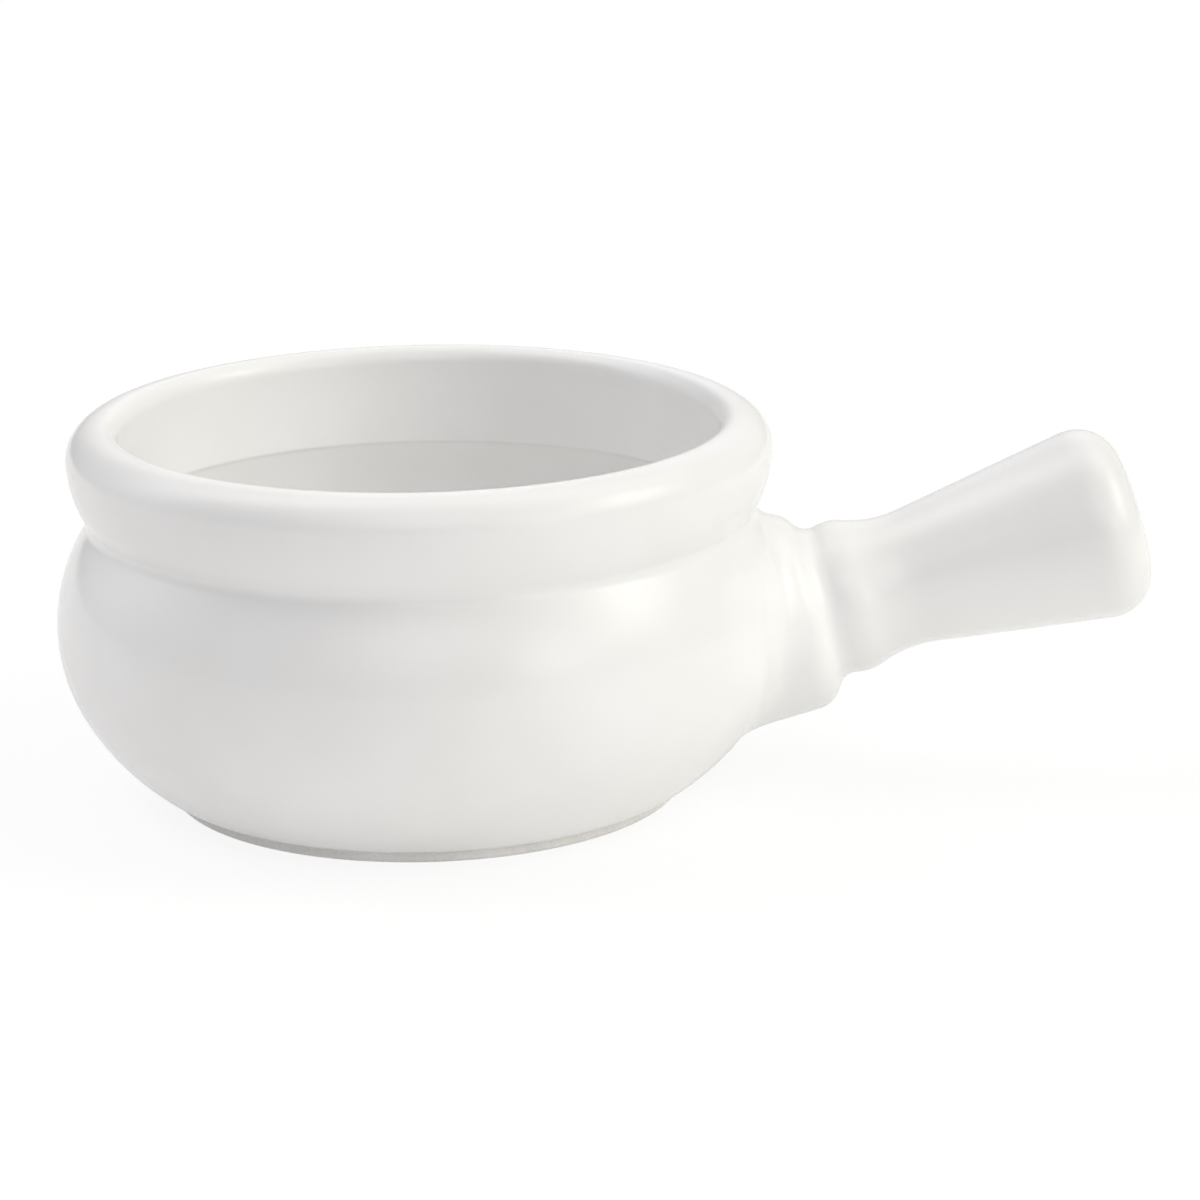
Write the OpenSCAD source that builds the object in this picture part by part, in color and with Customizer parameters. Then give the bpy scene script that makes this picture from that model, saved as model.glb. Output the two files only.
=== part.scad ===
// Handled soup crock: a thrown bowl with a rolled rim and a hollow cast handle,
// stuck together with slip and then glazed inside and out, all but the foot.
// The bowl turns about the Z axis and stands on z = 0. The handle leaves along +X.

/* [Bowl] */
// Diameter of the belly at its widest, over the glaze
belly_d = 128; // [116:1:140]
// Height of the whole bowl, over the glaze
bowl_h = 66.4; // [62:0.2:72]
// Thickness of the wall
wall = 5; // [4:0.25:6]
// Height of the belly's widest place, as a share of the crease's height
belly_share = 0.62; // [0.58:0.01:0.66]
// Radius of the belly's curve below its widest place, as a share of that place's height
bilge_share = 0.95; // [0.85:0.01:1.05]
// How far that curve turns before a flatter one runs down to the foot, in degrees
bilge_turn = 28.5; // [24:0.5:33]

/* [Rim] */
// Height of the rim, from the crease over the belly up to its top
rim_h = 17.2; // [15:0.2:20]
// How far the crease lies in from the belly's widest place
crease_in = 6.5; // [5.5:0.1:7.5]
// Radius of the small hollow curve in the crease
crease_round = 2; // [1.4:0.1:2.4]
// How far the rim's roll lies in from the belly's widest place
rim_in = 2.8; // [1:0.1:3.5]
// Depth from the rim's top down to the roll's widest place
roll_fall = 5.8; // [4.8:0.1:7]
// How far the mouth's edge lies in from the belly's widest place
mouth_in = 11.25; // [10.5:0.25:12.5]
// Depth of the soft edge from the rim's top down to the mouth's straight wall
mouth_fall = 5.6; // [4:0.2:7]
// Place of the rim's top between the mouth's edge and the roll, as a share of the way
crest_share = 0.27; // [0.2:0.01:0.5]

/* [Inside] */
// How much further out the lip lies than the mouth's edge, where the inside opens out
lip_out = 0.95; // [0.3:0.05:1.5]
// How far the lip lies below the crease
lip_drop = 0.8; // [0:0.1:2]
// Height of the inside floor above the table
floor_z = 7.3; // [6:0.1:9]
// Radius of the curve from the inside wall to the floor
floor_round = 14; // [11:0.5:17]

/* [Foot] */
// How far the bare foot ring lies in from the belly's widest place
foot_in = 18.5; // [16:0.5:21]
// How far the belly's glaze stands out over the foot ring
foot_step = 0.85; // [0.8:0.05:1.5]
// Height of the foot ring below the belly
foot_h = 1.8; // [1.4:0.1:2.4]
// Width of the ring that touches the table
foot_w = 5; // [3:0.5:8]
// Height of the recess under the base
recess_h = 2; // [1:0.1:2.6]
// Size of the bevel along the foot's edges
foot_bevel = 0.6; // [0.3:0.1:0.7]

/* [Handle] */
// How steeply the handle rises, in degrees
handle_rise = 15.6; // [12:0.2:18]
// Length of the handle from the belly to its end
handle_l = 63.6; // [55:0.5:75]
// Clearance between the slip around the boss and the crease above it
crease_gap = 0.4; // [0.2:0.1:3]
// Clearance between the slip around the boss and the top of the foot below it
foot_gap = 1.4; // [0.6:0.1:4]
// Radius of the rounded ring that closes the boss
ring_round = 5.5; // [5:0.1:6]
// Place of that rounding's centre, out from the belly
ring_x = 0.6; // [0.2:0.1:1]
// Radius of the hollow behind the ring
groove_round = 3; // [2.6:0.1:3.4]
// How far the collar lies in from the boss
collar_in = 4.1; // [3.5:0.1:4.6]
// Place of the collar's top, out from the belly
collar_x = 10.9; // [10.4:0.1:11.6]
// How far the waist of the grip lies in from the boss
waist_in = 5.9; // [5.4:0.1:6.6]
// Place of the waist, out from the belly
waist_x = 20.6; // [19.4:0.1:22]
// How fast the grip widens to its end, in degrees from the centre line
grip_flare = 8.8; // [6:0.2:10]
// Radius of the rounding at the handle's end
end_round = 7.8; // [6:0.1:9]
// Wall of the hollow handle
handle_wall = 4; // [3:0.25:5]
// Diameter of the vent hole under the handle
vent_d = 3; // [2:0.5:4]
// Place of the vent hole, out from the belly
vent_x = 24; // [20:0.5:35]

/* [Joint] */
// Thickness of the slip between handle and bowl
slip_t = 0.6; // [0.4:0.1:1]
// How far the slip's fillet reaches along the handle
fillet_out = 2.2; // [1.6:0.1:2.5]
// How far the slip's fillet reaches over the belly
fillet_over = 2; // [1.7:0.1:2.2]

/* [Glaze] */
// Thickness of the fired glaze
glaze_t = 0.4; // [0.3:0.05:0.6]

/* [Hidden] */
$fn = 96;

// Steps along each round stretch of an outline
arc_steps = 12;
// Steps around the slip's fillet, across its hollow face and along each side of its seat
fillet_turns = 72;
fillet_steps = 6;
seat_steps = 3;
// Halvings in the search for a place on the belly
search_steps = 26;
// Gap between the fillet's facets and the curved clay under them
seat_gap = 0.03;
// How far a cut runs past what it cuts
overrun = 1;
// Share of the two curves' summed radius that is the collar's
collar_share = 0.28;
// Depth inside the belly at which the handle's outline starts, as a share of the belly's radius
root_share = 0.4;
// How far the first and last search places lie from the belly, as shares of its radius
search_in_share = 0.5;
search_out_share = 0.3;
// How far along the ring's rounding the search goes, as a share of its radius
search_ring_share = 0.8;

belly_r = belly_d / 2;
crease_r = belly_r - crease_in;
rim_r = belly_r - rim_in;
mouth_r = belly_r - mouth_in;
crest_r = mouth_r + (rim_r - mouth_r) * crest_share;
lip_r = mouth_r + lip_out;
foot_r = belly_r - foot_in;
recess_r = foot_r - foot_w;

crease_z = bowl_h - rim_h;
belly_z = crease_z * belly_share;
rim_z = bowl_h - roll_fall;
neck_z = bowl_h - mouth_fall;
lip_z = crease_z - lip_drop;

// Centres and radii of the bowl's curves, as [radius from the axis, height]
shoulder_round = span_radius(crease_in, crease_z - belly_z);
shoulder_c = [belly_r - shoulder_round, belly_z];
under_round = span_radius(rim_r - crease_r, rim_z - crease_z);
under_c = [rim_r - under_round, rim_z];
crease_c = meet(under_c, under_round + crease_round, shoulder_c, shoulder_round + crease_round);
bilge_round = belly_z * bilge_share;
bilge_c = [belly_r - bilge_round, belly_z];
bilge_end = bilge_c + bilge_round * ray(-bilge_turn);
foot_top = [foot_r + foot_step, foot_h];
base_round = touch_radius(bilge_end, -ray(-bilge_turn), foot_top);
base_c = bilge_end - base_round * ray(-bilge_turn);
throat_round = span_radius(belly_r - wall - lip_r, lip_z - belly_z);
throat_c = [belly_r - wall - throat_round, belly_z];
floor_c = [
    base_c.x + leg(base_round - wall - floor_round, base_c.y - floor_z - floor_round),
    floor_z + floor_round
];

// The handle's centre line, midway in the room on the belly between the crease and the foot,
// and the centres of its curves as [distance along it, radius]
crease_low = shoulder_c + shoulder_round * ray(bearing(shoulder_c, crease_c));
boss_top = crease_low.y - crease_gap + (belly_r - crease_low.x) * tan(handle_rise);
boss_bottom = foot_top.y + foot_gap + (belly_r - foot_top.x) * tan(handle_rise);
handle_z = (boss_top + boss_bottom) / 2;
boss_r = (boss_top - boss_bottom) / 2 * cos(handle_rise) - fillet_over;
collar_r = boss_r - collar_in;
waist_r = boss_r - waist_in;
axis_z = handle_z - belly_r * tan(handle_rise);
belly_s = belly_r / cos(handle_rise);
root_s = belly_s - belly_r * root_share;
end_s = belly_s + handle_l;
ring_c = [belly_s + ring_x, boss_r - ring_round];
bends_round = span_radius(collar_r - waist_r, waist_x - collar_x);
collar_round = bends_round * collar_share;
waist_round = bends_round - collar_round;
collar_c = [belly_s + collar_x, collar_r - collar_round];
waist_c = [belly_s + waist_x, waist_r + waist_round];
groove_c = meet(ring_c, ring_round + groove_round, collar_c, collar_round + groove_round);
flare_start = waist_c + waist_round * ray(grip_flare - 90);
end_c_s = end_s - end_round;
end_c = [
    end_c_s,
    flare_start.y + (end_c_s - flare_start.x) * tan(grip_flare) - end_round / cos(grip_flare)
];
bore_r = boss_r - handle_wall;

// A unit step at an angle
function ray(angle) = [cos(angle), sin(angle)];

// Angle of the line from one point to another
function bearing(from, to) = atan2(to.y - from.y, to.x - from.x);

// The other leg of a right triangle
function leg(long, short) = sqrt(long * long - short * short);

// Radius of the curve that starts square to a line and moves in by depth over length
function span_radius(depth, length) = (depth * depth + length * length) / (2 * depth);

// Radius of the circle that leaves a point square to a way and runs through a second point
function touch_radius(from, way, to) = (to - from) * (to - from) / (2 * (to - from) * way);

// Where two circles cross, on the left of the way from the first centre to the second
function meet(c1, r1, c2, r2) =
    let (
        gap = norm(c2 - c1),
        along = (gap * gap + r1 * r1 - r2 * r2) / (2 * gap),
        way = (c2 - c1) / gap
    )
    c1 + along * way + leg(r1, along) * [-way.y, way.x];

// Points on a round or oval stretch
function arc(centre, r, from, to) = oval(centre, r, r, from, to);
function oval(centre, rx, ry, from, to) = [
    for (i = [0:arc_steps])
        let (angle = from + (to - from) * i / arc_steps)
        centre + [rx * cos(angle), ry * sin(angle)]
];

function reversed(points) = [for (i = [len(points) - 1:-1:0]) points[i]];

// Outside of the bowl from the foot up to the top of the rim, moved out by grow
function outside(grow) = concat(
    arc(
        base_c,
        base_round + grow,
        asin((foot_h - base_c.y) / (base_round + grow)),
        -bilge_turn
    ),
    arc(bilge_c, bilge_round + grow, -bilge_turn, 0),
    arc(shoulder_c, shoulder_round + grow, 0, bearing(shoulder_c, crease_c)),
    arc(
        crease_c,
        crease_round - grow,
        180 + bearing(shoulder_c, crease_c),
        180 + bearing(under_c, crease_c)
    ),
    arc(under_c, under_round + grow, bearing(under_c, crease_c), 0),
    oval([crest_r, rim_z], rim_r - crest_r + grow, bowl_h - rim_z + grow, 0, 90)
);

// Inside of the bowl from the top of the rim down to the middle of the floor
function inside(grow) = concat(
    oval([crest_r, neck_z], crest_r - mouth_r + grow, bowl_h - neck_z + grow, 90, 180),
    arc(
        throat_c,
        throat_round - grow,
        acos((lip_r - grow - throat_c.x) / (throat_round - grow)),
        0
    ),
    arc(bilge_c, bilge_round - wall - grow, 0, -bilge_turn),
    arc(base_c, base_round - wall - grow, -bilge_turn, bearing(base_c, floor_c)),
    arc(floor_c, floor_round - grow, bearing(base_c, floor_c), -90),
    [[0, floor_z + grow]]
);

// Underside, from the middle of the recess out to the top of the foot ring
function underside() = [
    [0, recess_h],
    [recess_r, recess_h],
    [recess_r, foot_bevel],
    [recess_r + foot_bevel, 0],
    [foot_r - foot_bevel, 0],
    [foot_r, foot_bevel],
    [foot_r, foot_h]
];

// Outside of the handle from inside the belly to the middle of its end
function grip(grow) = concat(
    [[root_s, boss_r + grow]],
    arc(ring_c, ring_round + grow, 90, bearing(ring_c, groove_c)),
    arc(
        groove_c,
        groove_round - grow,
        bearing(groove_c, ring_c),
        bearing(groove_c, collar_c)
    ),
    arc(
        collar_c,
        collar_round + grow,
        bearing(collar_c, groove_c),
        bearing(collar_c, waist_c)
    ),
    arc(waist_c, waist_round - grow, bearing(waist_c, collar_c), grip_flare - 90),
    arc(end_c, end_round + grow, 90 + grip_flare, 0),
    [[end_s + grow, 0]]
);

// Inside of the hollow handle: wide at the root, narrow at the waist, wide in the grip
function hollow() = concat(
    [[root_s - overrun, 0], [root_s - overrun, bore_r], [ring_c.x, bore_r]],
    arc(waist_c, waist_round + handle_wall, -90 - grip_flare, grip_flare - 90),
    arc(end_c, end_round - handle_wall, 90 + grip_flare, 0),
    [[end_s - handle_wall, 0]]
);

// Lays what is turned about Z along the handle's centre line
module along_handle() {
    translate([0, 0, axis_z])
        rotate([0, 90 - handle_rise, 0])
            children();
}

// Turns an outline of [distance along, radius] about the handle's centre line
module turned_handle(outline) {
    along_handle()
        rotate_extrude()
            polygon([for (p = outline) [p.y, p.x]]);
}

// The bowl's outer form, filled, moved out by grow
module bowl_form(grow) {
    rotate_extrude()
        polygon(concat([[0, foot_h]], outside(grow), [[0, bowl_h + grow]]));
}

// A coat of glaze over one side of an outline
function coat(over, under) = concat(over, reversed(under));

// The vent hole, from the handle's centre line down through its lower wall
module vent() {
    translate([0, 0, axis_z])
        rotate([0, 90 - handle_rise, 0])
            translate([0, 0, belly_s + vent_x])
                rotate([0, 90, 0])
                    cylinder(d = vent_d, h = boss_r + overrun);
}

// A point at a distance along the handle's centre line, a radius from it and a turn about it
function handle_point(s, r, turn) = [
    s * cos(handle_rise) - r * sin(turn) * sin(handle_rise),
    r * cos(turn),
    axis_z + s * sin(handle_rise) + r * sin(turn) * cos(handle_rise)
];

// How far a point lies outside the belly
function belly_gap(p) =
    let (q = [norm([p.x, p.y]), p.z])
    q.y >= belly_z ? norm(q - shoulder_c) - shoulder_round :
    -bearing(bilge_c, q) <= bilge_turn ? norm(q - bilge_c) - bilge_round :
    norm(q - base_c) - base_round;

// Radius of the boss and of its ring at a distance along the handle, moved out by grow
function boss_line(s, grow) =
    s < ring_c.x ? boss_r + grow : ring_c.y + leg(ring_round + grow, s - ring_c.x);

// How far the boss's outline has turned down at a distance along the handle
function boss_turn(s) = s < ring_c.x ? 0 : asin((s - ring_c.x) / ring_round);

// Where a path that leaves the belly stands gap off it
function reach(path, gap, near, far, left = search_steps) =
    let (middle = (near + far) / 2)
    left == 0 ? middle :
    belly_gap(path(middle)) < gap ?
        reach(path, gap, middle, far, left - 1) :
        reach(path, gap, near, middle, left - 1);

// Distance along the handle at which its outline, moved out by grow, stands gap off the belly
function boss_reach(grow, turn, gap) = reach(
    function (s) handle_point(s, boss_line(s, grow), turn),
    gap,
    belly_s - belly_r * search_in_share,
    ring_c.x + ring_round * search_ring_share
);

// The point on that outline
function boss_point(grow, turn, gap) =
    let (s = boss_reach(grow, turn, gap))
    handle_point(s, boss_line(s, grow), turn);

// The point a radius from the handle's axis that stands gap off the belly
function seat_point(r, turn, gap) =
    let (
        s = reach(
            function (s) handle_point(s, r, turn),
            gap,
            belly_s - belly_r * search_in_share,
            belly_s + belly_r * search_out_share
        )
    )
    handle_point(s, r, turn);

// Where the line that touches the boss's outline at a distance along it runs into the belly
function corner_point(s, turn) =
    let (
        way = ray(-boss_turn(s)),
        path = function (t) handle_point(s + t * way.x, boss_line(s, 0) + t * way.y, turn)
    )
    path(reach(path, 0, -belly_r * search_out_share, 0));

// A smooth bend from one point to another that leaves and arrives along the lines to a corner
function bend(start, corner, finish, share) =
    (1 - share) * (1 - share) * start
    + 2 * share * (1 - share) * corner
    + share * share * finish;

// One section through the fillet: its hollow face, then its seat on belly and handle
function fillet_section(turn) =
    let (
        start_s = boss_reach(0, turn, fillet_out),
        start = handle_point(start_s, boss_line(start_s, 0), turn),
        corner = corner_point(start_s, turn),
        finish = seat_point(boss_r + fillet_over, turn, 0),
        lift = seat_gap - glaze_t,
        inner_r = boss_r + lift,
        seat_w = fillet_over - lift
    )
    concat(
        [for (i = [0:fillet_steps]) bend(start, corner, finish, i / fillet_steps)],
        [
            for (i = [seat_steps:-1:1])
                seat_point(inner_r + seat_w * i / seat_steps, turn, lift)
        ],
        [
            for (i = [0:seat_steps])
                boss_point(lift, turn, lift + (fillet_out - lift) * i / seat_steps)
        ]
    );

// The bead of slip that fills the corner between handle and belly
module fillet() {
    count = fillet_steps + 2 * seat_steps + 2;
    points = [
        for (i = [0:fillet_turns - 1])
            each fillet_section(360 * i / fillet_turns)
    ];
    faces = [
        for (i = [0:fillet_turns - 1])
            for (j = [0:count - 1])
                let (
                    a = i * count,
                    b = (i + 1) % fillet_turns * count,
                    k = (j + 1) % count
                )
                each [[a + j, b + k, a + k], [a + j, b + j, b + k]]
    ];
    polyhedron(points, faces);
}

module bowl() {
    color("antiquewhite")
        rotate_extrude()
            polygon(concat(outside(-glaze_t), inside(-glaze_t), underside()));
}

module handle() {
    color("linen")
        difference() {
            turned_handle(concat([[root_s, 0]], grip(-glaze_t)));
            turned_handle(hollow());
            bowl_form(slip_t - glaze_t);
            vent();
        }
}

module luting_slip() {
    color("wheat") {
        fillet();
        difference() {
            intersection() {
                turned_handle([
                    [root_s, bore_r],
                    [root_s, boss_r - glaze_t],
                    [ring_c.x, boss_r - glaze_t],
                    [ring_c.x, bore_r]
                ]);
                bowl_form(slip_t - glaze_t);
            }
            bowl_form(-glaze_t);
        }
    }
}

module outer_glaze() {
    color("white") {
        difference() {
            rotate_extrude()
                polygon(coat(outside(0), outside(-glaze_t)));
            along_handle()
                translate([0, 0, root_s])
                    cylinder(r = boss_r + fillet_over, h = belly_r);
        }
        translate([0, 0, recess_h - glaze_t])
            cylinder(r = recess_r, h = glaze_t);
    }
}

module inner_glaze() {
    color("ghostwhite")
        rotate_extrude()
            polygon(coat(inside(0), inside(-glaze_t)));
}

module handle_glaze() {
    color("snow")
        difference() {
            turned_handle(coat(grip(0), grip(-glaze_t)));
            bowl_form(fillet_out);
            vent();
        }
}

bowl();
handle();
luting_slip();
outer_glaze();
inner_glaze();
handle_glaze();
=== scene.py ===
"""Handled onion soup crock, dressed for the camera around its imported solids.

The clay bowl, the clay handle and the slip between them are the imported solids. The clay gets
the finish of bare fired stoneware, and the slip, which lies under glaze, gets the glaze's. The
glaze is built here: one coat poured and dipped over the bowl, one in the recess under it, and
one over the handle that melts into the bowl's coat round the boss.
Lengths in the classes are in millimetres, and Blender's objects are in metres.
"""

import logging
import math
from dataclasses import dataclass, replace
from enum import Enum
from functools import cached_property
from typing import Any, Callable

import bmesh
import bpy
import numpy as np
from mathutils import Matrix, Vector, noise


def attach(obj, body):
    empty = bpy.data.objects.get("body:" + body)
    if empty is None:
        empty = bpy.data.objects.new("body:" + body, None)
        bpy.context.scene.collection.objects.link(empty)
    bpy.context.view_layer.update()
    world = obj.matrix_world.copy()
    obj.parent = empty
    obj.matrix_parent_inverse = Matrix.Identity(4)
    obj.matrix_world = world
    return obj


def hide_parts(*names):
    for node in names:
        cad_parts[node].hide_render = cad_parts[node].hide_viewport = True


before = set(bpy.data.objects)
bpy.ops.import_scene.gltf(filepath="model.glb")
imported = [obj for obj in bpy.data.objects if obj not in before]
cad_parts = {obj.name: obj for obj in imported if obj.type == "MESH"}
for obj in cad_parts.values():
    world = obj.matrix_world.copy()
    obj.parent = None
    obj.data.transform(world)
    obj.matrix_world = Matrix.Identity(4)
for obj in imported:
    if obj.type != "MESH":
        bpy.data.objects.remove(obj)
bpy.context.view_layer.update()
BODY = "root"
MM = 0.001

Array = np.ndarray
log = logging.getLogger("crock")


# Outlines and meshes

# Steps along an outline: a share of its radius, between a finest and a widest in millimetres
ROUND_STEP = 0.09
FINEST_STEP = 0.3
WIDEST_STEP = 1.2
SAME_PLACE = 1e-6
# Points on a straight stretch of the bowl's outline, and on a rounded corner
STRAIGHT_POINTS = 24
CORNER_POINTS = 12


def ray(angle: float | Array) -> Array:
    """Gives a unit step at an angle in degrees."""
    turned = np.radians(angle)
    return np.stack([np.cos(turned), np.sin(turned)], axis=-1)


def bearing(start: Array, finish: Array) -> float:
    """Gives the angle in degrees of the line from one point to another."""
    way = finish - start
    return math.degrees(math.atan2(way[1], way[0]))


def span_radius(depth: float, length: float) -> float:
    """Gives the radius of the circle that starts square to a line and moves in by depth over length."""
    return (depth * depth + length * length) / (2 * depth)


def touch_radius(start: Array, way: Array, through: Array) -> float:
    """Gives the radius of the circle that leaves a point square to a way and runs through another."""
    step = through - start
    return float(step @ step / (2 * step @ way))


def meet(first: Array, first_r: float, second: Array, second_r: float) -> Array:
    """Finds where two circles cross.

    Args:
        first: Centre of the first circle.
        first_r: Its radius.
        second: Centre of the second circle.
        second_r: Its radius.

    Returns:
        The crossing on the left of the way from the first centre to the second.
    """
    gap = float(np.linalg.norm(second - first))
    along = (gap * gap + first_r * first_r - second_r * second_r) / (2 * gap)
    way = (second - first) / gap
    off = math.sqrt(first_r * first_r - along * along)
    return first + along * way + off * np.array([-way[1], way[0]])


def oval(centre: Array, across: float, up: float, start: float, finish: float) -> Array:
    """Lays points along an oval stretch of an outline.

    Args:
        centre: Centre of the oval.
        across: Its half width.
        up: Its half height.
        start: Angle in degrees at which the stretch starts.
        finish: Angle in degrees at which it ends.

    Returns:
        Points whose steps suit the curve.
    """
    size = max(across, up)
    step = min(max(size * ROUND_STEP, FINEST_STEP), WIDEST_STEP)
    count = math.ceil(size * math.radians(abs(finish - start)) / step) + 1
    return centre + ray(np.linspace(start, finish, count)) * [across, up]


def arc(centre: Array, radius: float, start: float, finish: float) -> Array:
    """Lays points along a round stretch of an outline."""
    return oval(centre, radius, radius, start, finish)


def lengths_along(line: Array) -> Array:
    """Gives each point's distance along a line of points."""
    return np.concatenate([[0.0], np.cumsum(np.linalg.norm(np.diff(line, axis=0), axis=1))])


def spaced(line: Array, step: float) -> Array:
    """Resamples a line of points at even steps.

    Args:
        line: The points, in order.
        step: About how far apart the new points lie.

    Returns:
        The new points, with the same first and last.
    """
    along = lengths_along(line)
    wanted = np.linspace(0.0, along[-1], max(2, round(along[-1] / step) + 1))
    return np.stack([np.interp(wanted, along, line[:, k]) for k in range(line.shape[1])], axis=1)


def softened(line: Array, corner: Array, reach: float) -> Array:
    """Rounds one corner of a line of points.

    Args:
        line: The points, in order.
        corner: The place of the corner.
        reach: How far the rounding runs along the line on each side.

    Returns:
        The points with a smooth bend in place of the corner.
    """
    along = lengths_along(line)
    middle = along[np.argmin(np.linalg.norm(line - corner, axis=1))]
    ends = [
        np.array([np.interp(middle + side * reach, along, line[:, k]) for k in (0, 1)]) for side in (-1, 1)
    ]
    share = np.linspace(0, 1, CORNER_POINTS)[:, None]
    bend = (1 - share) ** 2 * ends[0] + 2 * share * (1 - share) * corner + share ** 2 * ends[1]
    return np.concatenate([line[along < middle - reach], bend, line[along > middle + reach]])


def joined(*stretches: Array) -> Array:
    """Joins stretches of an outline and drops the points that they share."""
    line = np.concatenate(stretches)
    kept = np.concatenate([[True], np.linalg.norm(np.diff(line, axis=0), axis=1) > SAME_PLACE])
    return line[kept]


def line_normals(line: Array) -> Array:
    """Gives each point's unit normal, on the right of a line of points."""
    run = lengths_along(line)
    way = np.gradient(line, run, axis=0)
    way /= np.linalg.norm(way, axis=1, keepdims=True)
    return np.stack([way[:, 1], -way[:, 0]], axis=1)


def grid_faces(rows: int, turns: int) -> list[tuple[int, int, int, int]]:
    """Lists the faces between rows of points that each run once round."""
    return [
        (i * turns + j, i * turns + (j + 1) % turns, (i + 1) * turns + (j + 1) % turns, (i + 1) * turns + j)
        for i in range(rows - 1)
        for j in range(turns)
    ]


def pole_faces(pole: int, first: int, turns: int, flipped: bool) -> list[tuple[int, int, int]]:
    """Lists the faces that close a row of points on one middle point.

    Args:
        pole: Index of the middle point.
        first: Index of the row's first point.
        turns: Number of points in the row.
        flipped: Whether the faces run the other way round.

    Returns:
        One triangle for each step along the row.
    """
    steps = [(first + j, first + (j + 1) % turns) for j in range(turns)]
    return [(b, a, pole) if flipped else (a, b, pole) for a, b in steps]


def turned_faces(rows: int, turns: int) -> list[tuple[int, ...]]:
    """Lists the faces of a closed turned body, with a middle point after its rows at each end."""
    count = rows * turns
    faces = [face[::-1] for face in grid_faces(rows, turns)]
    faces += pole_faces(count, 0, turns, False)
    faces += pole_faces(count + 1, count - turns, turns, True)
    return faces


def new_piece(name: str, points: Array, faces: list[tuple[int, ...]]) -> bpy.types.Object:
    """Makes a smooth mesh piece from points in millimetres.

    Args:
        name: Name of the piece.
        points: Its points, three numbers each.
        faces: Its faces, as indices of points.

    Returns:
        The new object, in the scene.
    """
    mesh = bpy.data.meshes.new(name)
    mesh.from_pydata((points * MM).tolist(), [], faces)
    shaped = bmesh.new()
    shaped.from_mesh(mesh)
    bmesh.ops.recalc_face_normals(shaped, faces=shaped.faces)
    shaped.to_mesh(mesh)
    shaped.free()
    mesh.shade_smooth()
    piece = bpy.data.objects.new(name, mesh)
    bpy.context.scene.collection.objects.link(piece)
    return piece


def cut_away(piece: bpy.types.Object, tool: bpy.types.Object) -> None:
    """Cuts one closed piece with another, which is used up.

    Args:
        piece: The piece that keeps what is left.
        tool: The cutting body, which is deleted.
    """
    cut = piece.modifiers.new("cut", "BOOLEAN")
    cut.operation = "DIFFERENCE"
    cut.solver = "MANIFOLD"
    cut.object = tool
    shaped = bpy.data.meshes.new_from_object(piece.evaluated_get(bpy.context.evaluated_depsgraph_get()))
    piece.modifiers.clear()
    old = piece.data
    piece.data = shaped
    shaped.name = old.name
    bpy.data.meshes.remove(old)
    bpy.data.objects.remove(tool)


@dataclass(frozen=True)
class FiringRipple:
    """The slight unevenness of a fired coat, which only ever takes a little away."""

    slack: float = 0.015
    broad: float = 0.05
    broad_length: float = 38.0
    fine: float = 0.012
    fine_length: float = 11.0

    def depth(self, points: Array) -> Array:
        """Works out how deep the ripple lies at each point.

        Args:
            points: Places in millimetres.

        Returns:
            Depths in millimetres, none below the slack.
        """
        def swell(length: float) -> Array:
            """Gives a smooth random value from 0 to 1 at each point."""
            return np.array([0.5 + 0.5 * noise.noise(Vector(p)) for p in points / length])

        return self.slack + self.broad * swell(self.broad_length) + self.fine * swell(self.fine_length)


RIPPLE = FiringRipple()


# The bowl


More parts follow.
